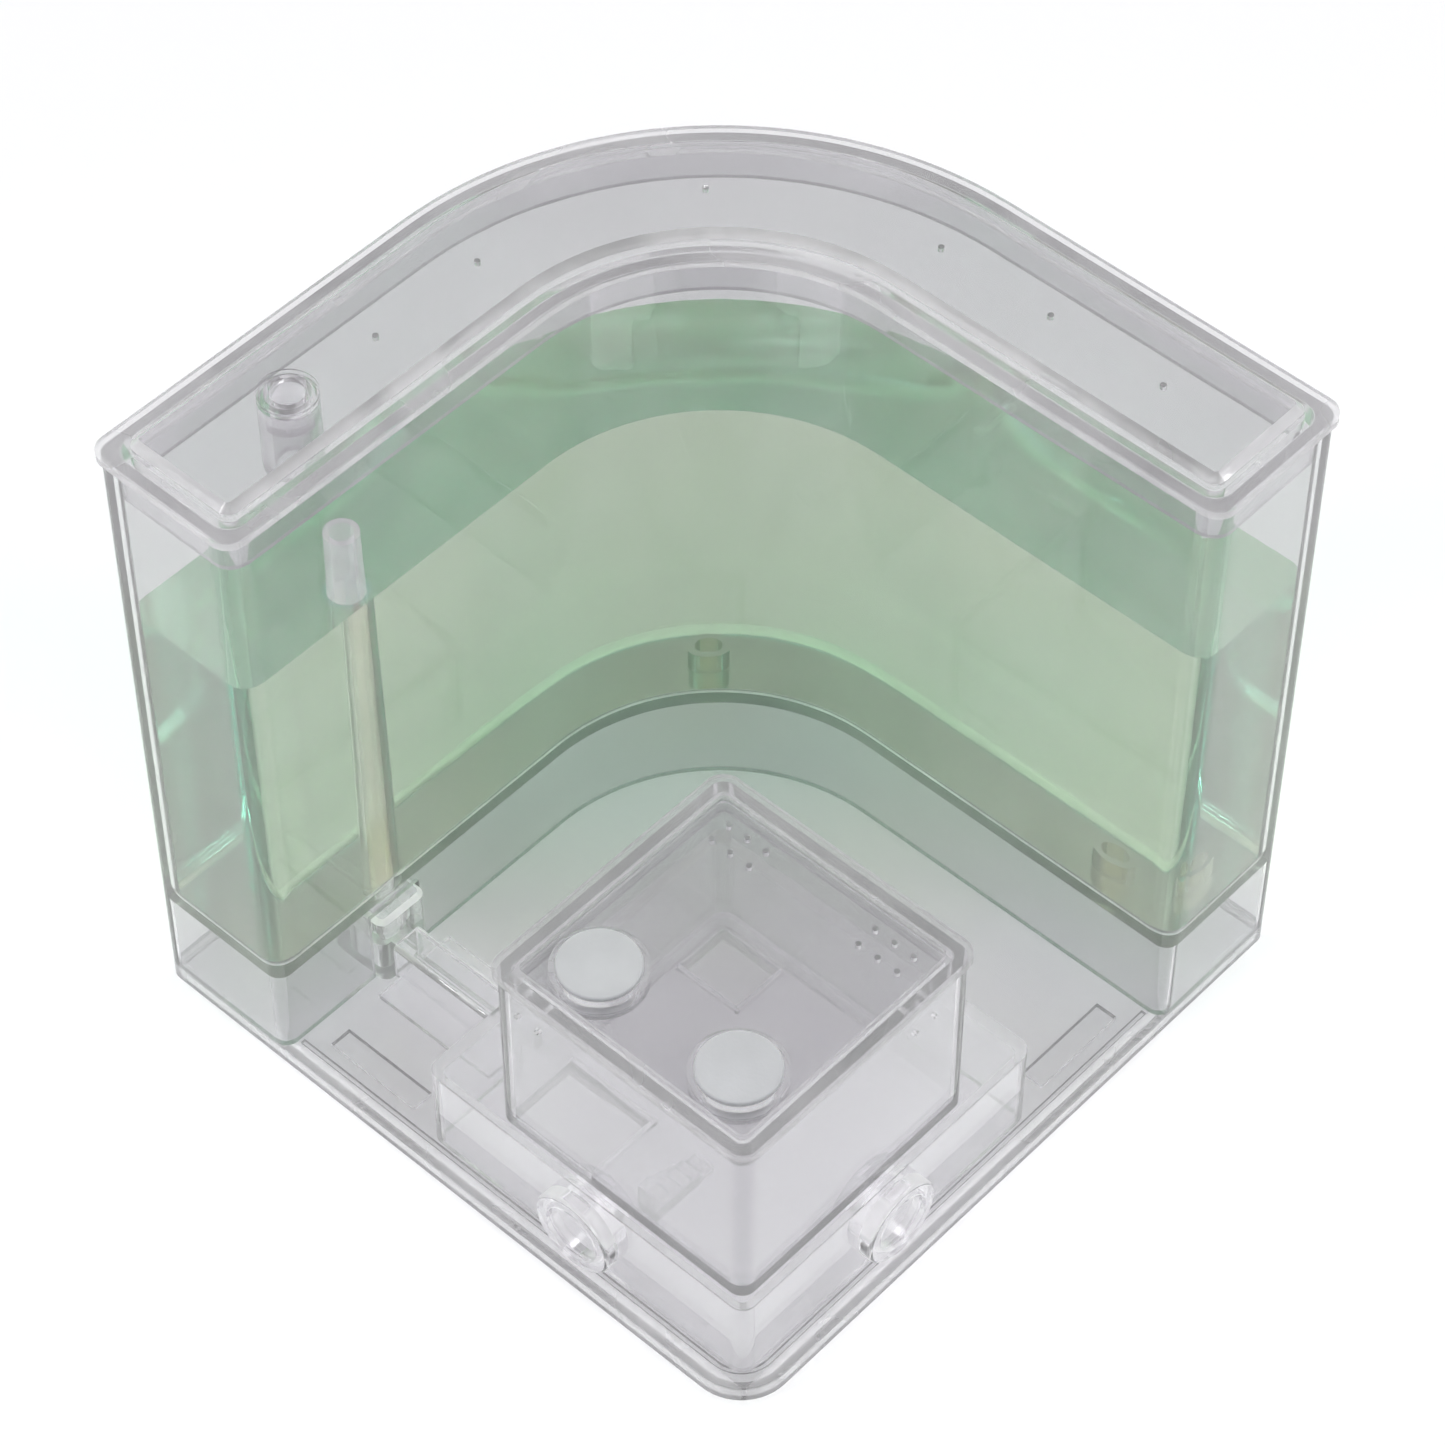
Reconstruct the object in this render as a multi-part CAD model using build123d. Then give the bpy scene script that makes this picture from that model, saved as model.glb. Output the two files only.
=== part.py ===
from build123d import *
import os

os.makedirs("parts", exist_ok=True)

# Frame: millimetres, +Z up, origin at the middle of the base footprint, z = 0 under the base.
# The tank is an L: one arm along -X, one arm along +Y, joined by a quarter turn about the origin.
# The feeding stack stands on the corner the L leaves free, towards +X and -Y.

# ---- base ----
half = 75.0
base_height = 4.0
base_plate = 2.0
base_rim = 2.0
base_front_radius = 10.6
base_end_radius = 3.0
groove_inset = 3.2
groove_width = 1.0
groove_depth = 0.8
slot_long = 22.0
slot_wide = 4.7
slot_depth = 1.2
slot_edge_gap = 6.8
slot_along = 26.0
groove_stop = 0.5
least_corner = 0.5

# ---- tank ----
arm_width = 33.0
wall = 2.0
tank_top = 143.2
floor_top = 25.5
floor_thickness = 2.0
tank_end_radius = 3.0
cavity_end_radius = 4.0
cavity_bottom_radius = 2.5
skirt_space_radius = 1.5
cut_over = 0.5
boss_radius = 5.0
boss_bore_radius = 3.4
boss_height = 5.0
arm_middle = half - arm_width / 2.0
boss_end_offset = 55.0

# ---- gel ----
gel_top = 105.0
gel_gap = 0.12

# ---- tank lid ----
lid_overhang = 1.0
flange = 1.5
panel_inset = 3.9
panel_rise = 2.1
panel_bevel = 1.5
panel_radius = 2.2
lid_skin = 1.6
lid_hollow_inset = 5.5
lid_hollow_radius = 1.0
skirt_gap = 0.15
skirt_wall = 1.5
skirt_radius = 3.9
skirt_depth = 7.7
vent_radius = 0.6
vent_line = 57.5
vent_pitch = 25.0
vents_on_right_arm = 3
port_y = -45.0
port_radius = 5.5
port_bore = 4.2
port_seat_bore = 3.3
port_top_rise = 0.5
port_depth = 17.0
port_seat_depth = 7.0
cap_gap = 0.05
cap_wall = 1.0
cap_floor = 1.2
cap_vent_offset = 1.5
cap_vent_radius = 0.5

# ---- passage tube, foot and tunnel ----
tube_x = -49.0
tube_y = -45.0
tube_bottom = 14.0
tube_top = 120.0
tube_low_radius = 4.5
tube_top_radius = 3.3
tube_wall = 1.1
collar_radius = 4.9
collar_thickness = 1.5
foot_left = -55.5
foot_right = -39.5
foot_half_width = 6.0
foot_top = 21.5
foot_radius = 2.0
foot_bevel = 1.0
fit_gap = 0.05
tunnel_half_width = 3.6
tunnel_top = 13.2
tunnel_wall = 1.2
tunnel_flange_half = 9.5
tunnel_flange = 1.2
tunnel_flange_end_gap = 1.5
tunnel_round = 1.2
notch_gap = 0.4

# ---- lower chamber ----
chamber_low_x = -8.5
chamber_high_x = 70.5
chamber_top = 24.5
chamber_wall = 2.0
chamber_skin = 2.0
chamber_radius = 3.0
chamber_inner_radius = 1.5
side_port_height = 13.4
side_port_bore = 7.0
curb_gap = 0.35
curb_wall = 1.5
curb_height = 3.0
curb_leg = 38.0
curb_cut_over = 9.0

# ---- feeding box ----
box_low_x = 8.5
box_side = 60.0
box_wall = 2.0
box_floor = 1.5
box_radius = 3.0
box_inner_radius = 2.0
box_top = 66.5
box_vent_height = 59.0
box_vent_first = 6.0
box_vent_side_first = 10.2
box_vent_count = 2
box_vent_pitch = 5.0
well_corner_gap = 0.3
left_well_x = 31.0
left_well_y = -51.0
back_well_x = 25.5
back_well_y = -23.0
well_lip = 1.0
well_lip_height = 1.0

# ---- ramp ----
ramp_x = 44.3
ramp_width = 4.6
ramp_length = 15.0
ramp_height = 7.0
ramp_steps = 5
ramp_wall_gap = 0.6

# ---- feeding lid ----
feed_lid_side = 62.0
feed_lid_radius = 4.0
feed_recess_inset = 4.2
feed_recess = 1.7
feed_recess_radius = 1.5
feed_skin = 1.5
feed_skirt_depth = 4.0
feed_skirt_gap = 0.1
feed_skirt_radius = 1.9
collar_outer = 9.0
plug_offset = 16.5
plug_bore = 7.35
plug_stem = 7.3
plug_tip = 6.6
plug_head = 7.8
plug_head_thickness = 1.0
plug_round = 0.4
plug_collar_rise = 1.0
plug_collar_drop = 3.2
plug_depth = 7.5
plug_cup_radius = 4.6
plug_cup_depth = 5.0
feed_vent_columns = (13.0, 17.5, 22.0)
feed_vent_rows = (18.5, 23.0)

# ---- side plugs ----
side_head_radius = 9.0
side_head_thickness = 3.0
side_round = 0.8
side_stem_gap = 0.05
side_stem_length = 5.5
side_dimple_radius = 6.2
side_dimple_depth = 0.8

# ---- shared ----
rest_gap = 0.05
diagonal = 0.5 ** 0.5
pick_margin = 1.0
through = 3.0

# ---- derived places ----
box_high_x = box_low_x + box_side
box_mid = box_low_x + box_side / 2.0
chamber_mid = (chamber_low_x + chamber_high_x) / 2.0
deck = base_height + rest_gap
lid_bottom = tank_top + rest_gap
lid_top = lid_bottom + flange + panel_rise
box_bottom = chamber_top + rest_gap
box_floor_top = box_bottom + box_floor
feed_lid_bottom = box_top + rest_gap
feed_lid_top = feed_lid_bottom + flange
port_x = -arm_middle


def save(shape, name):
    """Write one node as its own STEP file."""
    shape.label = name
    export_step(shape, f"parts/{name}.step")


def at(x, y, z=0.0):
    """A placement at the given point."""
    return Location((x, y, z))


def arm_end_corners(face, reach):
    """The four outside corners at the free ends of the L."""
    limit = reach - pick_margin
    return [v for v in face.vertices() if v.Y < -limit or v.X > limit]


def l_face(inset, end_radius):
    """L-shaped face, moved inwards from the tank outline by inset."""
    outer = half - inset
    inner = half - arm_width + inset
    outline = [
        Line((-outer, -outer), (-outer, 0)),
        ThreePointArc((-outer, 0), (-outer * diagonal, outer * diagonal), (0, outer)),
        Line((0, outer), (outer, outer)),
        Line((outer, outer), (outer, inner)),
        Line((outer, inner), (0, inner)),
        ThreePointArc((0, inner), (-inner * diagonal, inner * diagonal), (-inner, 0)),
        Line((-inner, 0), (-inner, -outer)),
        Line((-inner, -outer), (-outer, -outer)),
    ]
    face = make_face(outline)
    return fillet(arm_end_corners(face, outer), end_radius)


def l_block(inset, end_radius, bottom, top):
    """Upright L-shaped block between two heights."""
    return at(0, 0, bottom) * extrude(l_face(inset, end_radius), top - bottom)


def square_block(low_x, high_x, radius, bottom, top):
    """Rounded square block, mirrored about the diagonal through the free corner."""
    side = high_x - low_x
    middle = (low_x + high_x) / 2.0
    face = RectangleRounded(side, side, radius)
    return at(middle, -middle, bottom) * extrude(face, top - bottom)


def span_box(low, high):
    """Axis-aligned box between two corner points."""
    size = [b - a for a, b in zip(low, high)]
    centre = [(a + b) / 2.0 for a, b in zip(low, high)]
    return at(*centre) * Box(*size)


def upright(radius, x, y, bottom, top):
    """Upright cylinder between two heights."""
    return at(x, y, (bottom + top) / 2.0) * Cylinder(radius, top - bottom)


def cone_between(low_radius, high_radius, x, y, bottom, top):
    """Upright cone between two heights."""
    return at(x, y, (bottom + top) / 2.0) * Cone(low_radius, high_radius, top - bottom)


# ---------------------------------------------------------------- base
def base_outline(inset, bottom, top):
    """Base footprint block: square with one quarter-turn corner under the tank bend."""
    outer = half - inset
    corner = max(base_front_radius - inset, least_corner)
    face = make_face(
        [
            Line((-outer, -outer), (-outer, 0)),
            ThreePointArc((-outer, 0), (-outer * diagonal, outer * diagonal), (0, outer)),
            Line((0, outer), (outer, outer)),
            Line((outer, outer), (outer, -outer)),
            Line((outer, -outer), (-outer, -outer)),
        ]
    )
    front = [v for v in face.vertices() if v.X > pick_margin and v.Y < -pick_margin]
    face = fillet(front, corner)
    ends = [v for v in face.vertices() if v.X * v.Y > pick_margin]
    face = fillet(ends, max(base_end_radius - inset, least_corner))
    return at(0, 0, bottom) * extrude(face, top - bottom)


def base_tray():
    """Shallow tray turned upside down, with edge grooves and two shallow slots."""
    tray = base_outline(0.0, 0.0, base_height)
    tray -= base_outline(base_rim, 0.0, base_height - base_plate)
    groove = base_outline(groove_inset, base_height - groove_depth, base_height)
    groove -= base_outline(groove_inset + groove_width, 0.0, base_height)
    tank_reach = half - arm_width - groove_stop
    groove -= span_box((-half, -half, 0), (-tank_reach, half, base_height))
    groove -= span_box((-half, tank_reach, 0), (half, half, base_height))
    tray -= groove
    slot_low = half - slot_edge_gap - slot_wide
    slot_high = half - slot_edge_gap
    slot_z = base_height - slot_depth
    near = slot_along - slot_long / 2.0
    far = slot_along + slot_long / 2.0
    tray -= span_box((-far, -slot_high, slot_z), (-near, -slot_low, base_height))
    tray -= span_box((slot_low, near, slot_z), (slot_high, far, base_height))
    return tray


# ---------------------------------------------------------------- tank
def boss_places():
    """Middles of the round bosses on the tank floor."""
    turn = arm_middle * diagonal
    return [(-turn, turn), (boss_end_offset, arm_middle)]


def tank_body():
    """L-shaped tank: raised floor with a seat for the tube collar, open skirt below, open top."""
    tank = l_block(0.0, tank_end_radius, deck, tank_top)
    cavity = l_block(wall, cavity_end_radius, floor_top, tank_top)
    bottom_edges = cavity.edges().group_by(Axis.Z)[0]
    cavity = fillet(bottom_edges, cavity_bottom_radius)
    tank -= cavity
    tank -= l_block(wall, skirt_space_radius, deck, floor_top - floor_thickness)
    for x, y in boss_places():
        tank += upright(boss_radius, x, y, floor_top, floor_top + boss_height)
        tank -= upright(boss_bore_radius, x, y, floor_top, floor_top + boss_height)
    tank -= upright(
        tube_low_radius + fit_gap,
        tube_x,
        tube_y,
        floor_top - floor_thickness,
        floor_top,
    )
    face_top = floor_top + cavity_bottom_radius
    tank -= upright(collar_radius + fit_gap, tube_x, tube_y, floor_top, face_top)
    notch_half = foot_half_width + notch_gap
    inner_wall = -half + arm_width
    tank -= span_box(
        (inner_wall - wall - cut_over, tube_y - notch_half, deck),
        (inner_wall + cut_over, tube_y + notch_half, foot_top + notch_gap),
    )
    return tank


def gel_block():
    """Gel cast into the tank, shaped round the floor bosses and the passage tube."""
    bottom = floor_top + gel_gap
    gel = l_block(wall + gel_gap, cavity_end_radius - gel_gap, bottom, gel_top)
    gel = fillet(gel.edges().group_by(Axis.Z)[0], cavity_bottom_radius)
    for x, y in boss_places():
        ring = upright(
            boss_radius + gel_gap, x, y, bottom, floor_top + boss_height + gel_gap
        )
        ring -= upright(
            boss_bore_radius - gel_gap, x, y, bottom, floor_top + boss_height + gel_gap
        )
        gel -= ring
    gel -= upright(
        collar_radius + gel_gap,
        tube_x,
        tube_y,
        bottom,
        floor_top + rest_gap + collar_thickness + gel_gap,
    )
    reach = tube_radius_at(bottom) + gel_gap
    neck = tube_radius_at(gel_top) + gel_gap
    gel -= cone_between(reach, neck, tube_x, tube_y, bottom, gel_top)
    return gel


# ---------------------------------------------------------------- tank lid
def lid_vent_places():
    """Air holes along the middle of the lid: two on one arm, one in the bend, three on the other."""
    turn = vent_line * diagonal
    places = [(-vent_line, -vent_pitch), (-vent_line, 0.0), (-turn, turn)]
    places += [(step * vent_pitch, vent_line) for step in range(vents_on_right_arm)]
    return places


def tank_lid():
    """L-shaped lid: overhanging flange, raised bevelled panel, plug skirt and port tube."""
    flange_top = lid_bottom + flange
    lid = l_block(-lid_overhang, tank_end_radius + lid_overhang, lid_bottom, flange_top)
    panel = l_block(panel_inset, panel_radius, flange_top, lid_top)
    panel = chamfer(panel.edges().group_by(Axis.Z)[-1], panel_bevel)
    skirt = l_block(wall + skirt_gap, skirt_radius, tank_top - skirt_depth, lid_bottom)
    lid = lid + panel + skirt
    skirt_bottom = tank_top - skirt_depth
    lid -= l_block(lid_hollow_inset, lid_hollow_radius, skirt_bottom, lid_top - lid_skin)
    inner = wall + skirt_gap + skirt_wall
    lid -= l_block(inner, skirt_radius - skirt_wall, skirt_bottom, lid_bottom)
    port_top = lid_top + port_top_rise
    lid += upright(port_radius, port_x, port_y, lid_top - port_depth, port_top)
    seat = port_top - port_seat_depth
    lid -= upright(port_bore, port_x, port_y, seat, port_top)
    lid -= upright(port_seat_bore, port_x, port_y, lid_top - port_depth, seat)
    for x, y in lid_vent_places():
        lid -= upright(vent_radius, x, y, lid_bottom, lid_top)
    return lid


def lid_port_cap():
    """Small cup that plugs the port in the tank lid, with four air holes in its floor."""
    top = lid_top + port_top_rise
    bottom = top - port_seat_depth + rest_gap
    cap = upright(port_bore - cap_gap, port_x, port_y, bottom, top)
    cap -= upright(port_bore - cap_gap - cap_wall, port_x, port_y, bottom + cap_floor, top)
    for step_x in (-1, 1):
        for step_y in (-1, 1):
            cap -= upright(
                cap_vent_radius,
                port_x + step_x * cap_vent_offset,
                port_y + step_y * cap_vent_offset,
                bottom,
                bottom + cap_floor,
            )
    return cap


# ---------------------------------------------------------------- passage
def tube_radius_at(height):
    """Outside radius of the tapered passage tube at a height above the floor collar."""
    share = (height - floor_top) / (tube_top - floor_top)
    return tube_low_radius + share * (tube_top_radius - tube_low_radius)


def passage_tube():
    """Tapered upright tube that takes the ants from the foot up through the gel."""
    collar_bottom = floor_top + rest_gap
    tube = upright(tube_low_radius, tube_x, tube_y, tube_bottom + rest_gap, floor_top)
    tube += cone_between(
        tube_low_radius, tube_top_radius, tube_x, tube_y, floor_top, tube_top
    )
    tube += upright(
        collar_radius, tube_x, tube_y, collar_bottom, collar_bottom + collar_thickness
    )
    bore_low = tube_low_radius - tube_wall
    bore_high = tube_top_radius - tube_wall
    tube -= upright(bore_low, tube_x, tube_y, tube_bottom, floor_top)
    tube -= cone_between(bore_low, bore_high, tube_x, tube_y, floor_top, tube_top)
    return tube


def tunnel_foot():
    """Block on the base that turns the passage from the tube into the tunnel."""
    foot = span_box(
        (foot_left, tube_y - foot_half_width, deck),
        (foot_right, tube_y + foot_half_width, foot_top),
    )
    foot = fillet(foot.edges().filter_by(Axis.Z), foot_radius)
    foot = chamfer(foot.edges().group_by(Axis.Z)[-1], foot_bevel)
    foot -= upright(tube_low_radius + fit_gap, tube_x, tube_y, tube_bottom, foot_top)
    bore = tube_low_radius - tube_wall
    foot -= upright(bore, tube_x, tube_y, deck + tunnel_wall, tube_bottom)
    channel = tunnel_half_width - tunnel_wall
    foot -= span_box(
        (tube_x, tube_y - channel, deck + tunnel_flange),
        (foot_right, tube_y + channel, tunnel_top - tunnel_wall),
    )
    return foot


def tunnel_cover():
    """Low covered tunnel across the base, from the foot to the lower chamber."""
    start = foot_right + fit_gap
    end = chamber_low_x - fit_gap
    cover = span_box(
        (start, tube_y - tunnel_half_width, deck),
        (end, tube_y + tunnel_half_width, tunnel_top),
    )
    long_top = cover.edges().filter_by(Axis.X).group_by(Axis.Z)[-1]
    cover = fillet(long_top, tunnel_round)
    cover += span_box(
        (start + tunnel_flange_end_gap, tube_y - tunnel_flange_half, deck),
        (end - tunnel_flange_end_gap, tube_y + tunnel_flange_half, deck + tunnel_flange),
    )
    channel = tunnel_half_width - tunnel_wall
    cover -= span_box(
        (start, tube_y - channel, deck),
        (end, tube_y + channel, tunnel_top - tunnel_wall),
    )
    return cover


# ---------------------------------------------------------------- lower chamber
def well_spans():
    """Floor openings between the feeding box and the lower chamber."""
    near = box_low_x + box_wall + well_corner_gap
    far = box_high_x - box_wall - well_corner_gap
    left_corner = ((near, -far), (left_well_x, left_well_y))
    back_corner = ((near, back_well_y), (back_well_x, -near))
    return [left_corner, back_corner]


def chamber_housing():
    """Low square chamber with port holes, floor wells and a curb that locates the box."""
    housing = square_block(
        chamber_low_x, chamber_high_x, chamber_radius, deck, chamber_top
    )
    housing -= square_block(
        chamber_low_x + chamber_wall,
        chamber_high_x - chamber_wall,
        chamber_inner_radius,
        deck,
        chamber_top - chamber_skin,
    )
    curb_low = box_low_x - curb_gap - curb_wall
    curb_top = chamber_top + curb_height
    curb = square_block(
        curb_low, box_high_x, box_radius + curb_gap + curb_wall, chamber_top, curb_top
    )
    curb -= square_block(
        box_low_x - curb_gap,
        box_high_x + curb_cut_over,
        box_radius + curb_gap,
        chamber_top,
        curb_top,
    )
    reach = box_low_x + curb_leg
    curb -= span_box((reach, -half, 0), (half, half, curb_top))
    curb -= span_box((-half, -half, 0), (half, -reach, curb_top))
    housing += curb
    housing -= (
        at(chamber_high_x, -chamber_mid, side_port_height)
        * Rotation(0, 90, 0)
        * Cylinder(side_port_bore, chamber_wall * through)
    )
    housing -= (
        at(chamber_mid, -chamber_high_x, side_port_height)
        * Rotation(90, 0, 0)
        * Cylinder(side_port_bore, chamber_wall * through)
    )
    channel = tunnel_half_width - tunnel_wall
    housing -= span_box(
        (chamber_low_x, tube_y - channel, deck),
        (chamber_low_x + chamber_wall, tube_y + channel, tunnel_top - tunnel_wall),
    )
    for low, high in well_spans():
        housing -= span_box((*low, chamber_top - chamber_skin), (*high, chamber_top))
    return housing


# ---------------------------------------------------------------- feeding box
def feeding_box():
    """Open-topped square box with two lipped floor wells and small air holes."""
    box = square_block(box_low_x, box_high_x, box_radius, box_bottom, box_top)
    box -= square_block(
        box_low_x + box_wall,
        box_high_x - box_wall,
        box_inner_radius,
        box_floor_top,
        box_top,
    )
    lip_top = box_floor_top + well_lip_height
    for low, high in well_spans():
        lip_high = (high[0] + well_lip, high[1])
        lip_low = low
        if high[1] < -box_mid:
            lip_high = (high[0] + well_lip, high[1] + well_lip)
        else:
            lip_low = (low[0], low[1] - well_lip)
        box += span_box((*lip_low, box_floor_top), (*lip_high, lip_top))
        box -= span_box((*low, box_bottom), (*high, lip_top))
    for step in range(box_vent_count):
        x = box_low_x + box_vent_first + step * box_vent_pitch
        y = -box_low_x - box_vent_side_first - step * box_vent_pitch
        box -= (
            at(x, -box_high_x, box_vent_height)
            * Rotation(90, 0, 0)
            * Cylinder(vent_radius, box_wall * through)
        )
        box -= (
            at(box_high_x, y, box_vent_height)
            * Rotation(0, 90, 0)
            * Cylinder(vent_radius, box_wall * through)
        )
    return box


def ramp_block():
    """Narrow stepped ramp standing against the front wall of the feeding box."""
    back = -box_high_x + box_wall + ramp_wall_gap
    bottom = box_floor_top + rest_gap
    step_length = ramp_length / ramp_steps
    step_height = ramp_height / ramp_steps
    blocks = [
        span_box(
            (ramp_x - ramp_width / 2.0, back, bottom),
            (
                ramp_x + ramp_width / 2.0,
                back + ramp_length - step * step_length,
                bottom + (step + 1) * step_height,
            ),
        )
        for step in range(ramp_steps)
    ]
    ramp = blocks[0]
    for block in blocks[1:]:
        ramp += block
    return ramp


# ---------------------------------------------------------------- feeding lid
def feed_plug_places():
    """Middles of the two plug holes in the feeding lid."""
    row = -box_mid - plug_offset
    return [(box_mid - plug_offset, row), (box_mid + plug_offset, row)]


def feeding_lid():
    """Square lid with a sunken panel, plug skirt, two plug collars and two groups of air holes."""
    lid_low = box_mid - feed_lid_side / 2.0
    lid_high = box_mid + feed_lid_side / 2.0
    top = feed_lid_top
    skirt_low = box_low_x + box_wall + feed_skirt_gap
    skirt_high = box_high_x - box_wall - feed_skirt_gap
    skirt_bottom = box_top - feed_skirt_depth
    panel_top = top - feed_recess
    panel_bottom = panel_top - feed_skin
    lid = square_block(lid_low, lid_high, feed_lid_radius, feed_lid_bottom, top)
    lid += square_block(skirt_low, skirt_high, feed_skirt_radius, skirt_bottom, feed_lid_bottom)
    recess_low = lid_low + feed_recess_inset
    recess_high = lid_high - feed_recess_inset
    lid -= square_block(recess_low, recess_high, feed_recess_radius, panel_top, top)
    lid -= square_block(recess_low, recess_high, feed_recess_radius, skirt_bottom, panel_bottom)
    for x, y in feed_plug_places():
        lid += upright(
            collar_outer, x, y, panel_top - plug_collar_drop, panel_top + plug_collar_rise
        )
    for x, y in feed_plug_places():
        lid -= upright(plug_bore, x, y, skirt_bottom, top)
    for row in feed_vent_rows:
        for column in feed_vent_columns:
            for side in (-1, 1):
                lid -= upright(
                    vent_radius,
                    box_mid + side * column,
                    -box_mid + row,
                    panel_bottom,
                    panel_top,
                )
    return lid


def feeding_plug(x, y):
    """Soft stopper: flat head on the collar, slightly tapered stem, hollow from below."""
    seat = feed_lid_top - feed_recess + plug_collar_rise + rest_gap
    tip = seat - plug_depth
    plug = upright(plug_head, x, y, seat, seat + plug_head_thickness)
    plug = fillet(plug.edges().group_by(Axis.Z)[-1], plug_round)
    plug += cone_between(plug_tip, plug_stem, x, y, tip, seat)
    plug -= upright(plug_cup_radius, x, y, tip, tip + plug_cup_depth)
    return plug


def side_plug():
    """Round stopper along +Z from its own seat: dished head and a stem into the wall."""
    plug = upright(side_head_radius, 0, 0, 0, side_head_thickness)
    plug = fillet(plug.edges().group_by(Axis.Z)[-1], side_round)
    rim = side_head_thickness - side_dimple_depth
    plug -= upright(side_dimple_radius, 0, 0, rim, side_head_thickness)
    plug += upright(side_port_bore - side_stem_gap, 0, 0, -side_stem_length, 0)
    return plug


save(base_tray(), "base_tray")
save(tank_body(), "tank_body")
save(gel_block(), "gel_block")
save(tank_lid(), "tank_lid")
save(lid_port_cap(), "lid_port_cap")
save(passage_tube(), "passage_tube")
save(tunnel_foot(), "tunnel_foot")
save(tunnel_cover(), "tunnel_cover")
save(chamber_housing(), "chamber_housing")
save(feeding_box(), "feeding_box")
save(ramp_block(), "ramp_block")
save(feeding_lid(), "feeding_lid")
for (plug_x, plug_y), plug_name in zip(feed_plug_places(), ("left", "front")):
    save(feeding_plug(plug_x, plug_y), f"feeding_plug_{plug_name}")
right_seat = at(chamber_high_x + rest_gap, -chamber_mid, side_port_height)
front_seat = at(chamber_mid, -chamber_high_x - rest_gap, side_port_height)
save(right_seat * Rotation(0, 90, 0) * side_plug(), "side_plug_right")
save(front_seat * Rotation(90, 0, 0) * side_plug(), "side_plug_front")
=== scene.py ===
import math

import bpy
from mathutils import Matrix, Vector

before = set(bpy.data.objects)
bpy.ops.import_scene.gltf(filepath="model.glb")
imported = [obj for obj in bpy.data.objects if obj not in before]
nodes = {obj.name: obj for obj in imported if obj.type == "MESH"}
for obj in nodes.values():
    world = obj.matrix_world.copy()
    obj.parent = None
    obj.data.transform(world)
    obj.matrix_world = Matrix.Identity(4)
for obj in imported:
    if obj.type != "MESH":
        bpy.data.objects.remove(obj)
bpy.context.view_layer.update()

# Lengths are in metres and angles in degrees, unless a comment says otherwise.

# ---- camera: azimuth 0 looks along +Y, with +X to the right ----
CAMERA_AZIMUTH = 42.54
CAMERA_ELEVATION = 49.60
CAMERA_LENS = 117.37  # millimetres, as is the sensor
SENSOR = 36.0
CAMERA_OFFSET = (0.00053, 0.04407, 0.9098)  # from the origin: right, up, back
CLIP_START = 0.01

# ---- ranges that values are mapped from or to ----
RISING = (0.0, 1.0)
FALLING = (1.0, 0.0)
NOISE_BODY = (0.3, 0.7)  # most of a noise texture lies in it
MASK_BLEND = 0.0001  # over which a mask fades
WHITE = (1.0, 1.0, 1.0, 1.0)

# ---- clear plastic; a noise is its waves per metre, detail and distortion ----
PLASTIC_IOR = 1.5
FLOW_NOISE = (55.0, 1.0, 0.8)
FLOW_DEPTH = 0.00006
FILM_NOISE = (38.0, 4.0, 0.4)
FILM_PATCHES = (0.45, 0.75)
FILM_ROUGHNESS = (0.008, 0.024)
SCRATCH_TURN = (0.4, 0.7, 0.9)  # radians
SCRATCH_STRETCH = (1.0, 0.16, 0.35)
SCRATCH_CELLS = 70.0  # per metre
SCRATCH_WIDTH = 0.006  # of a cell
SCRATCH_ROUGHNESS = 0.10
TINT_NOISE = (20.0, 3.0, 0.0)
TINT_DEEP = (0.975, 0.965, 0.985)  # both are shares of the grade's wall tint: its faint own tint plus painted shade
TINT_PALE = (1.02, 1.015, 1.03)
LAMP_CAST = (1.0, 0.995, 1.003)  # share of the grade's own lamp tint
BLOOM_NOISE = (30.0, 4.0, 0.5)
BLOOM_SHARE = (0.75, 1.25)  # of the grade's own milk
# painted highlights: edges, and in part rims, are untinted and get extra white scatter in these
# patches
GLINT_NOISE = (36.0, 2.0, 0.8)
GLINT_PATCHES = (0.35, 0.65)
GLINT_SHARE = (0.18, 0.50)
EDGE_SLOPE = (0.01, 0.12)  # 0 for level and upright faces, 0.25 at 45 degrees
# share of the painted edge highlight that a rim gets
RIM_PAINTED_HIGHLIGHT = 0.35
# colour of the scattered haze and of the painted highlights
HAZE_AND_HIGHLIGHT_COLOUR = (0.95, 0.945, 0.955)
HAZE_AND_HIGHLIGHT_ONWARD = 0.4  # share of the scattered light that goes on through the face

# ---- gel ----
GEL_IOR = 1.34
GEL_TINT = (0.11, 0.955, 0.86)
GEL_DENSITY = 9.0
GEL_CLOUD_NOISE = (24.0, 5.0, 0.6)
GEL_SURFACE = ((0.96, 0.92, 0.70), (1.0, 0.94, 0.74))
GEL_CLEARNESS = (0.90, 0.96)
GEL_WET_NOISE = (60.0, 3.0, 0.0)
GEL_ROUGHNESS = (0.02, 0.07)
GEL_SKIN_NOISE = (45.0, 2.0, 0.5)
GEL_SKIN_DEPTH = 0.00010
GEL_LAMP_TINT = (0.87, 0.91, 0.77)
TUBE_AXIS = (-0.049, -0.045, 0.0)
TUBE_REACH = 0.0043  # radius within which the gel's surface is the tube hole's wall

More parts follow.
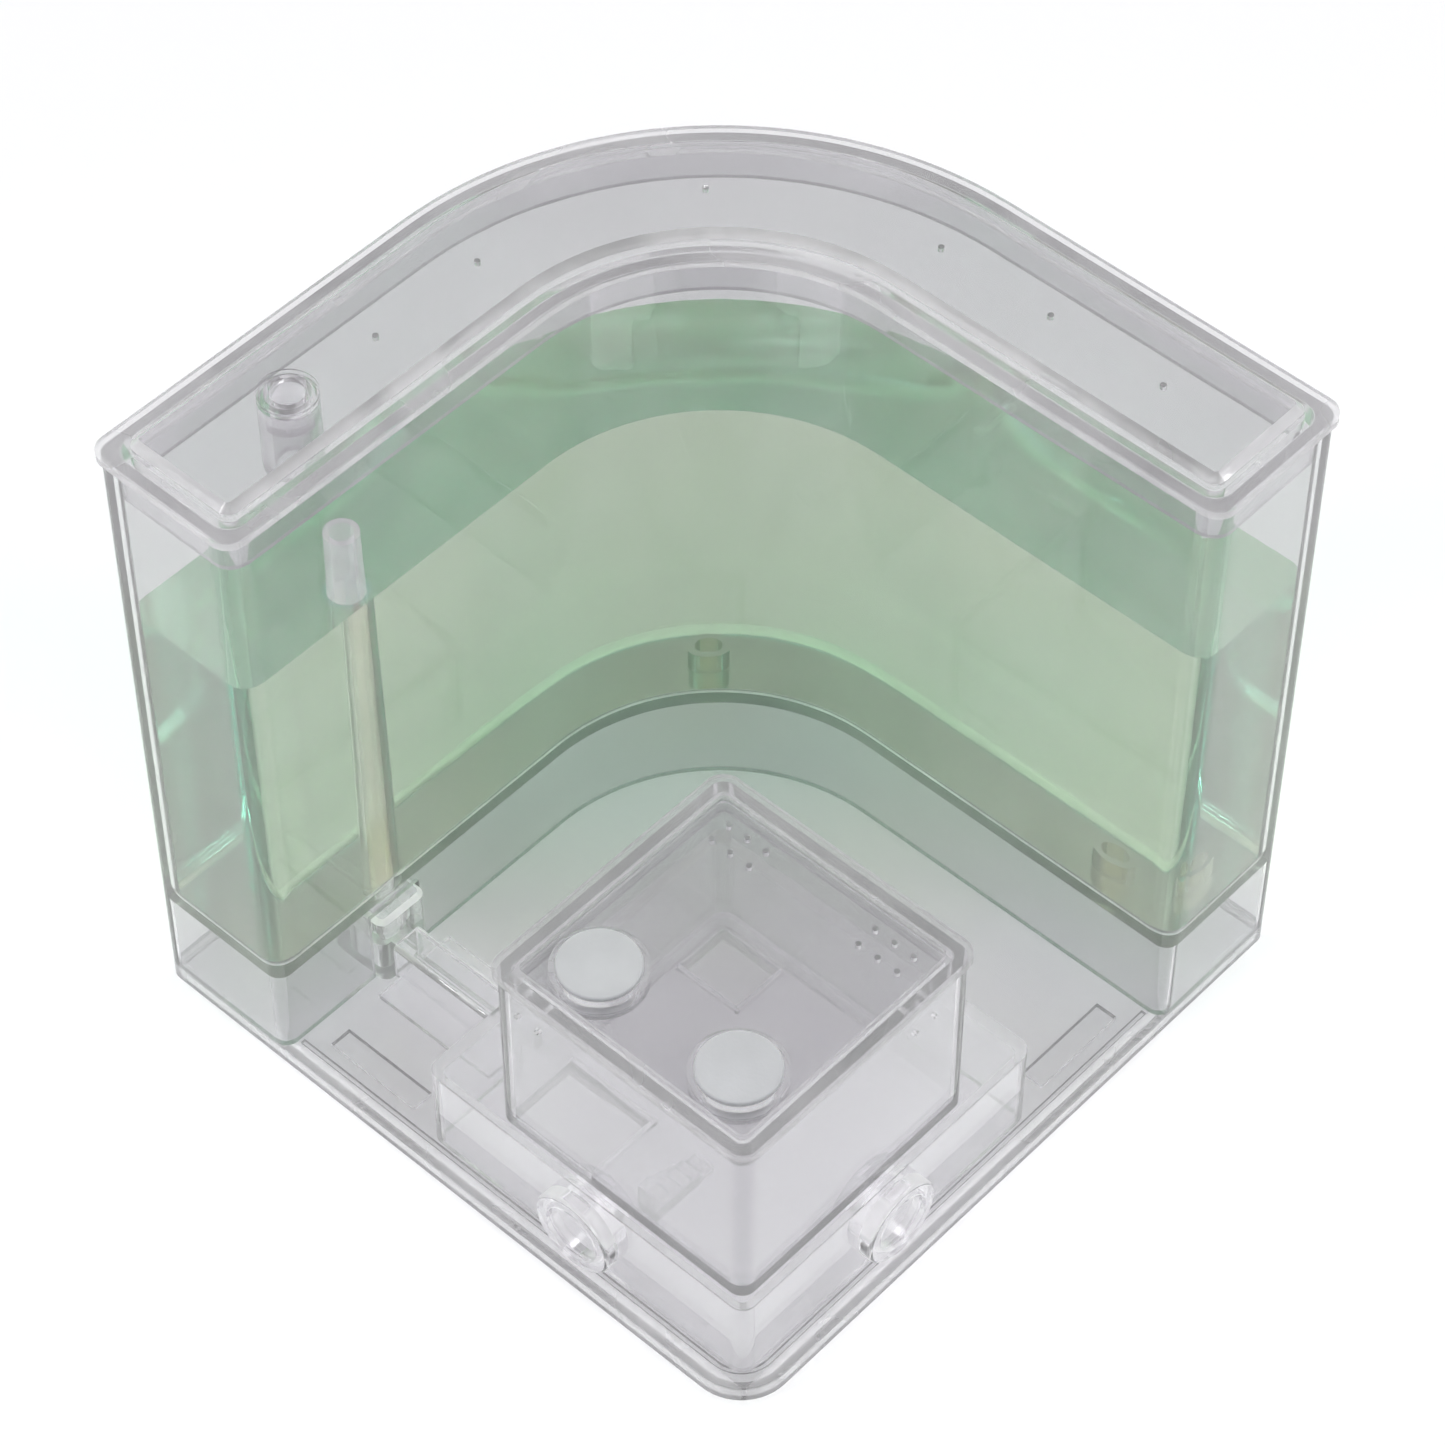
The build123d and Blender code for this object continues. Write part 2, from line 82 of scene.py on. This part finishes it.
# ---- silicone ----
SILICONE_IOR = 1.41
SILICONE_CLEARNESS = 0.35
SILICONE_INNER_LIGHT = 0.4
SILICONE_INNER_REACH = (0.004, 0.004, 0.004)
SILICONE_TINT_NOISE = (180.0, 4.0, 0.0)
SILICONE_TINTS = ((0.66, 0.67, 0.685), (0.76, 0.77, 0.785))
SILICONE_MATTE_NOISE = (400.0, 3.0, 0.0)
SILICONE_ROUGHNESS = (0.38, 0.55)
SILICONE_GRAIN_NOISE = (1500.0, 2.0, 0.0)
SILICONE_GRAIN_DEPTH = 0.00003

# name: share through one wall (faint own tint plus painted shade of the darker surroundings),
# share each face scatters, share each face passes to lamps,
# rim that gets part of the painted edge highlight (axes and the two distances along them that it
# lies between) or None, nodes
CLEAR_GRADES = {
    "plastic_tank": (0.77, 0.07, 0.975, None, ("tank_body",)),
    "plastic_lid": (0.80, 0.09, 0.985, ("Z", 0.1432, 0.1449), ("tank_lid",)),
    "plastic_tube": (0.99, 0.20, 0.985, None, ("passage_tube",)),
    "plastic_tunnel": (0.97, 0.08, 0.985, None, ("tunnel_foot", "tunnel_cover")),
    "plastic_cap": (0.96, 0.08, 0.985, None, ("lid_port_cap",)),
    "plastic_base": (0.58, 0.09, 0.77, ("XY", 0.0722, 0.0760), ("base_tray",)),
    "plastic_chamber": (0.96, 0.12, 0.985, None, ("chamber_housing",)),
    "plastic_box": (0.85, 0.08, 0.985, None, ("feeding_box", "ramp_block")),
    "plastic_box_lid": (0.74, 0.08, 0.985, ("Z", 0.0668, 0.0690), ("feeding_lid",)),
    "plastic_side_plug": (0.99, 0.03, 0.985, None, ("side_plug_right", "side_plug_front")),
}

# ---- studio ----
FLOOR_SIZE = 6.0
FLOOR_COLOUR = (0.93, 0.93, 0.935)
WORLD_COLOUR = (0.55, 0.55, 0.57)
WORLD_STRENGTH = 0.62
# name, place, point it is aimed at, width, height, watts
LAMPS = (
    ("lamp_top", (0.1, -0.1, 1.6), (0.0, 0.0, 0.0), 1.4, 1.4, 13.0),
    ("lamp_left", (-0.70, -1.22, 0.77), (0.0, 0.0, 0.05), 0.30, 0.30, 8.0),
    ("lamp_right", (1.22, 0.77, 0.70), (0.0, 0.0, 0.05), 0.30, 0.30, 8.0),
    ("lamp_back", (-0.96, 1.0, 0.54), (0.0, 0.0, 0.08), 1.0, 0.14, 4.0),
)

# ---- light paths through many clear walls ----
BOUNCES = 28
CLEAR_BOUNCES = 40


def node_tree(name):
    """A new material with an empty node tree, and its output node."""
    material = bpy.data.materials.new(name)
    material.use_nodes = True
    tree = material.node_tree
    tree.nodes.clear()
    output = tree.nodes.new("ShaderNodeOutputMaterial")
    return material, tree, output


def texture_space(tree):
    """Object coordinates, which are the row frame in metres."""
    return tree.nodes.new("ShaderNodeTexCoord").outputs["Object"]


def noise(tree, space, settings):
    """Noise with the given waves per metre, detail and distortion."""
    texture = tree.nodes.new("ShaderNodeTexNoise")
    for socket, value in zip(("Scale", "Detail", "Distortion"), settings):
        texture.inputs[socket].default_value = value
    tree.links.new(space, texture.inputs["Vector"])
    return texture.outputs["Fac"]


def ranged(tree, value, span, to_span):
    """Value mapped from one range to another and clamped."""
    ramp = tree.nodes.new("ShaderNodeMapRange")
    ramp.inputs["From Min"].default_value, ramp.inputs["From Max"].default_value = span
    ramp.inputs["To Min"].default_value, ramp.inputs["To Max"].default_value = to_span
    tree.links.new(value, ramp.inputs["Value"])
    return ramp.outputs["Result"]


def blended(tree, share, colour_a, colour_b):
    """Two colours mixed by a value."""
    mix = tree.nodes.new("ShaderNodeMix")
    mix.data_type = "RGBA"
    mix.inputs["A"].default_value = (*colour_a, 1.0)
    mix.inputs["B"].default_value = (*colour_b, 1.0)
    tree.links.new(share, mix.inputs["Factor"])
    return mix.outputs["Result"]


def untinted(tree, share, colour):
    """The colour, turned to white where the share is 1."""
    mix = tree.nodes.new("ShaderNodeMix")
    mix.data_type = "RGBA"
    mix.inputs["B"].default_value = WHITE
    tree.links.new(share, mix.inputs["Factor"])
    tree.links.new(colour, mix.inputs["A"])
    return mix.outputs["Result"]


def scratches(tree, space):
    """Thin wandering lines: 1 on a line, 0 off it."""
    stretch = tree.nodes.new("ShaderNodeMapping")
    stretch.inputs["Rotation"].default_value = SCRATCH_TURN
    stretch.inputs["Scale"].default_value = SCRATCH_STRETCH
    tree.links.new(space, stretch.inputs["Vector"])
    cells = tree.nodes.new("ShaderNodeTexVoronoi")
    cells.feature = "DISTANCE_TO_EDGE"
    cells.inputs["Scale"].default_value = SCRATCH_CELLS
    tree.links.new(stretch.outputs["Vector"], cells.inputs["Vector"])
    return ranged(tree, cells.outputs["Distance"], (0.0, SCRATCH_WIDTH), FALLING)


def bumped(tree, height, depth):
    """Normal from a height, with its depth in metres."""
    bump = tree.nodes.new("ShaderNodeBump")
    bump.inputs["Distance"].default_value = depth
    bump.inputs["Strength"].default_value = 1.0
    tree.links.new(height, bump.inputs["Height"])
    return bump.outputs["Normal"]


def combined(tree, operation, first, second):
    """Two values put through one operation."""
    total = tree.nodes.new("ShaderNodeMath")
    total.operation = operation
    tree.links.new(first, total.inputs[0])
    tree.links.new(second, total.inputs[1])
    return total.outputs["Value"]


def painted_edge_highlight_share(tree, rim):
    """Painted highlight share: 1 on rounded and bevelled edges, a part of it on the rim, 0 on
    other level and upright faces.

    rim is its axes and two distances along them, counted to both sides of the origin.
    """
    place = tree.nodes.new("ShaderNodeTexCoord")
    parts = tree.nodes.new("ShaderNodeSeparateXYZ")
    tree.links.new(place.outputs["Normal"], parts.inputs["Vector"])
    rise = parts.outputs["Z"]
    level = combined(tree, "MULTIPLY", rise, rise)
    upright = ranged(tree, level, RISING, FALLING)
    slope = combined(tree, "MULTIPLY", level, upright)
    painted_edge_light = ranged(tree, slope, EDGE_SLOPE, RISING)
    if rim is None:
        return painted_edge_light
    axes, near, far = rim
    spot = tree.nodes.new("ShaderNodeSeparateXYZ")
    tree.links.new(place.outputs["Object"], spot.inputs["Vector"])
    for axis in axes:
        away = tree.nodes.new("ShaderNodeMath")
        away.operation = "ABSOLUTE"
        tree.links.new(spot.outputs[axis], away.inputs[0])
        distance = away.outputs["Value"]
        past = ranged(tree, distance, (near - MASK_BLEND, near), (0.0, RIM_PAINTED_HIGHLIGHT))
        short = ranged(tree, distance, (far, far + MASK_BLEND), FALLING)
        painted_edge_light = combined(tree, "MAXIMUM", painted_edge_light, combined(tree, "MULTIPLY", past, short))
    return painted_edge_light


def lets_lamps_through(tree, shader, tint):
    """The shader for every ray but shadow rays, which pass with a tint."""
    path = tree.nodes.new("ShaderNodeLightPath")
    clear = tree.nodes.new("ShaderNodeBsdfTransparent")
    clear.inputs["Color"].default_value = (*tint, 1.0)
    mix = tree.nodes.new("ShaderNodeMixShader")
    tree.links.new(path.outputs["Is Shadow Ray"], mix.inputs["Fac"])
    tree.links.new(shader, mix.inputs[1])
    tree.links.new(clear.outputs["BSDF"], mix.inputs[2])
    return mix.outputs["Shader"]


def haze_and_highlight_scatter(tree, shader, share):
    """The shader with a share of pale light scattered to both sides of the face; the share carries
    haze and painted highlights.
    """
    near = tree.nodes.new("ShaderNodeBsdfDiffuse")
    far = tree.nodes.new("ShaderNodeBsdfTranslucent")
    for side in (near, far):
        side.inputs["Color"].default_value = (*HAZE_AND_HIGHLIGHT_COLOUR, 1.0)
    both = tree.nodes.new("ShaderNodeMixShader")
    both.inputs["Fac"].default_value = HAZE_AND_HIGHLIGHT_ONWARD
    tree.links.new(near.outputs["BSDF"], both.inputs[1])
    tree.links.new(far.outputs["BSDF"], both.inputs[2])
    mix = tree.nodes.new("ShaderNodeMixShader")
    tree.links.new(share, mix.inputs["Fac"])
    tree.links.new(shader, mix.inputs[1])
    tree.links.new(both.outputs["Shader"], mix.inputs[2])
    return mix.outputs["Shader"]


def absorbing(tree, output, colour, density):
    """Colour that builds up along the way through the solid."""
    volume = tree.nodes.new("ShaderNodeVolumeAbsorption")
    volume.inputs["Color"].default_value = (*colour, 1.0)
    volume.inputs["Density"].default_value = density
    tree.links.new(volume.outputs["Volume"], output.inputs["Volume"])


def shares(whole, parts):
    """Each part of the whole."""
    return tuple(whole * part for part in parts)


def clear_plastic(name, shaded_slab, milk, lamp_tint, rim):
    """Polished injection-moulded plastic: faint flow ripple, handling haze and fine scratches.

    The wall share is the light that one wall lets through: the plastic's faint own tint plus
    painted shade for the darker surroundings seen through it. milk is the share that each face
    scatters,
    and lamp_tint the share each face lets through to what lies below. Edges are painted lighter:
    untinted, with extra white scatter in patches as painted highlights, and the rim gets part of
    it.
    """
    material, tree, output = node_tree(name)
    space = texture_space(tree)
    lines = scratches(tree, space)
    film = ranged(tree, noise(tree, space, FILM_NOISE), FILM_PATCHES, FILM_ROUGHNESS)
    worn = ranged(tree, lines, RISING, (0.0, SCRATCH_ROUGHNESS))
    rough = combined(tree, "ADD", film, worn)
    normal = bumped(tree, noise(tree, space, FLOW_NOISE), FLOW_DEPTH)
    shade = tree.nodes.new("ShaderNodeBsdfPrincipled")
    shade.inputs["Transmission Weight"].default_value = 1.0
    shade.inputs["IOR"].default_value = PLASTIC_IOR
    patches = noise(tree, space, TINT_NOISE)
    # wall tint: the plastic's faint own tint plus painted shade, varied in patches
    tint = blended(tree, patches, shares(shaded_slab, TINT_DEEP), shares(shaded_slab, TINT_PALE))
    # edges and rims are painted lighter: untinted, with extra white scatter as painted highlight
    painted_edge_light = painted_edge_highlight_share(tree, rim)
    tree.links.new(untinted(tree, painted_edge_light, tint), shade.inputs["Base Color"])
    tree.links.new(rough, shade.inputs["Roughness"])
    tree.links.new(normal, shade.inputs["Normal"])
    cast = ranged(tree, noise(tree, space, BLOOM_NOISE), NOISE_BODY, shares(milk, BLOOM_SHARE))
    # painted glints: white scatter in patches along edges and rims
    glints = ranged(tree, noise(tree, space, GLINT_NOISE), GLINT_PATCHES, GLINT_SHARE)
    painted_glints = combined(tree, "MULTIPLY", painted_edge_light, glints)
    haze_and_painted_highlights = haze_and_highlight_scatter(tree, shade.outputs["BSDF"], combined(tree, "ADD", cast, painted_glints))
    through = lets_lamps_through(tree, haze_and_painted_highlights, shares(lamp_tint, LAMP_CAST))
    tree.links.new(through, output.inputs["Surface"])
    return material


def gel_material():
    """Soft translucent gel: green that deepens with thickness, cloudy patches, wet surface.

    The wall of the hole that the passage tube stands in has no surface tint.
    """
    material, tree, output = node_tree("gel")
    space = texture_space(tree)
    cloud = noise(tree, space, GEL_CLOUD_NOISE)
    shade = tree.nodes.new("ShaderNodeBsdfPrincipled")
    shade.inputs["IOR"].default_value = GEL_IOR
    colour = blended(tree, cloud, *GEL_SURFACE)
    level = tree.nodes.new("ShaderNodeVectorMath")
    level.operation = "MULTIPLY"
    level.inputs[1].default_value = (1.0, 1.0, 0.0)
    tree.links.new(space, level.inputs[0])
    away = tree.nodes.new("ShaderNodeVectorMath")
    away.operation = "DISTANCE"
    away.inputs[1].default_value = TUBE_AXIS
    tree.links.new(level.outputs["Vector"], away.inputs[0])
    hole_edge = (TUBE_REACH, TUBE_REACH + MASK_BLEND)
    bare = ranged(tree, away.outputs["Value"], hole_edge, FALLING)
    tree.links.new(untinted(tree, bare, colour), shade.inputs["Base Color"])
    clearness = ranged(tree, cloud, NOISE_BODY, GEL_CLEARNESS)
    tree.links.new(clearness, shade.inputs["Transmission Weight"])
    rough = ranged(tree, noise(tree, space, GEL_WET_NOISE), NOISE_BODY, GEL_ROUGHNESS)
    tree.links.new(rough, shade.inputs["Roughness"])
    normal = bumped(tree, noise(tree, space, GEL_SKIN_NOISE), GEL_SKIN_DEPTH)
    tree.links.new(normal, shade.inputs["Normal"])
    through = lets_lamps_through(tree, shade.outputs["BSDF"], GEL_LAMP_TINT)
    tree.links.new(through, output.inputs["Surface"])
    absorbing(tree, output, GEL_TINT, GEL_DENSITY)
    return material


def silicone_material():
    """Milky soft stopper: fine matte grain, a little light inside."""
    material, tree, output = node_tree("white_silicone")
    space = texture_space(tree)
    shade = tree.nodes.new("ShaderNodeBsdfPrincipled")
    shade.inputs["Transmission Weight"].default_value = SILICONE_CLEARNESS
    shade.inputs["IOR"].default_value = SILICONE_IOR
    shade.inputs["Subsurface Weight"].default_value = SILICONE_INNER_LIGHT
    shade.inputs["Subsurface Radius"].default_value = SILICONE_INNER_REACH
    colour = blended(tree, noise(tree, space, SILICONE_TINT_NOISE), *SILICONE_TINTS)
    tree.links.new(colour, shade.inputs["Base Color"])
    matte = noise(tree, space, SILICONE_MATTE_NOISE)
    rough = ranged(tree, matte, NOISE_BODY, SILICONE_ROUGHNESS)
    tree.links.new(rough, shade.inputs["Roughness"])
    normal = bumped(tree, noise(tree, space, SILICONE_GRAIN_NOISE), SILICONE_GRAIN_DEPTH)
    tree.links.new(normal, shade.inputs["Normal"])
    tree.links.new(shade.outputs["BSDF"], output.inputs["Surface"])
    return material


def floor_material():
    """Plain pale matte floor."""
    material, tree, output = node_tree("floor")
    shade = tree.nodes.new("ShaderNodeBsdfDiffuse")
    shade.inputs["Color"].default_value = (*FLOOR_COLOUR, 1.0)
    tree.links.new(shade.outputs["BSDF"], output.inputs["Surface"])
    return material


def paint(node, material):
    """Gives a CAD node its looks, without touching its mesh."""
    for slot in nodes[node].material_slots:
        slot.material = material


def soft_lamp(name, place, aim, width, height, power):
    """Soft rectangular light aimed at a point."""
    lamp = bpy.data.lights.new(name, "AREA")
    lamp.shape = "RECTANGLE"
    lamp.size = width
    lamp.size_y = height
    lamp.energy = power
    holder = bpy.data.objects.new(name, lamp)
    bpy.context.scene.collection.objects.link(holder)
    holder.location = place
    direction = Vector(aim) - Vector(place)
    holder.rotation_euler = direction.to_track_quat("-Z", "Y").to_euler()


def add_camera():
    """Camera at the measured viewing angle and distance."""
    azimuth = math.radians(CAMERA_AZIMUTH)
    elevation = math.radians(CAMERA_ELEVATION)
    back = Vector(
        (
            math.sin(azimuth) * math.cos(elevation),
            -math.cos(azimuth) * math.cos(elevation),
            math.sin(elevation),
        )
    )
    right = Vector((math.cos(azimuth), math.sin(azimuth), 0.0))
    up = back.cross(right)
    place = right * CAMERA_OFFSET[0] + up * CAMERA_OFFSET[1] + back * CAMERA_OFFSET[2]
    data = bpy.data.cameras.new("camera")
    data.lens = CAMERA_LENS
    data.sensor_width = SENSOR
    data.clip_start = CLIP_START
    camera = bpy.data.objects.new("camera", data)
    bpy.context.scene.collection.objects.link(camera)
    turn = Matrix((right, up, back)).transposed().to_4x4()
    camera.matrix_world = Matrix.Translation(place) @ turn
    bpy.context.scene.camera = camera


def add_studio():
    """Pale floor, dim surroundings, a wide top lamp, and three lamps that rounded edges mirror."""
    mesh = bpy.data.meshes.new("floor")
    half = FLOOR_SIZE / 2.0
    corners = [(-half, -half, 0), (half, -half, 0), (half, half, 0), (-half, half, 0)]
    mesh.from_pydata(corners, [], [(0, 1, 2, 3)])
    floor = bpy.data.objects.new("floor", mesh)
    bpy.context.scene.collection.objects.link(floor)
    mesh.materials.append(floor_material())
    world = bpy.data.worlds.new("world")
    bpy.context.scene.world = world
    world.use_nodes = True
    backdrop = world.node_tree.nodes["Background"]
    backdrop.inputs["Color"].default_value = (*WORLD_COLOUR, 1.0)
    backdrop.inputs["Strength"].default_value = WORLD_STRENGTH
    for lamp in LAMPS:
        soft_lamp(*lamp)


for grade, (*looks, grade_nodes) in CLEAR_GRADES.items():
    plastic = clear_plastic(grade, *looks)
    for clear_node in grade_nodes:
        paint(clear_node, plastic)
paint("gel_block", gel_material())
silicone = silicone_material()
paint("feeding_plug_left", silicone)
paint("feeding_plug_front", silicone)

add_camera()
add_studio()

scene = bpy.context.scene
scene.view_settings.view_transform = "Standard"
scene.cycles.max_bounces = BOUNCES
scene.cycles.transmission_bounces = BOUNCES
scene.cycles.transparent_max_bounces = CLEAR_BOUNCES
scene.cycles.caustics_reflective = False
scene.cycles.caustics_refractive = True
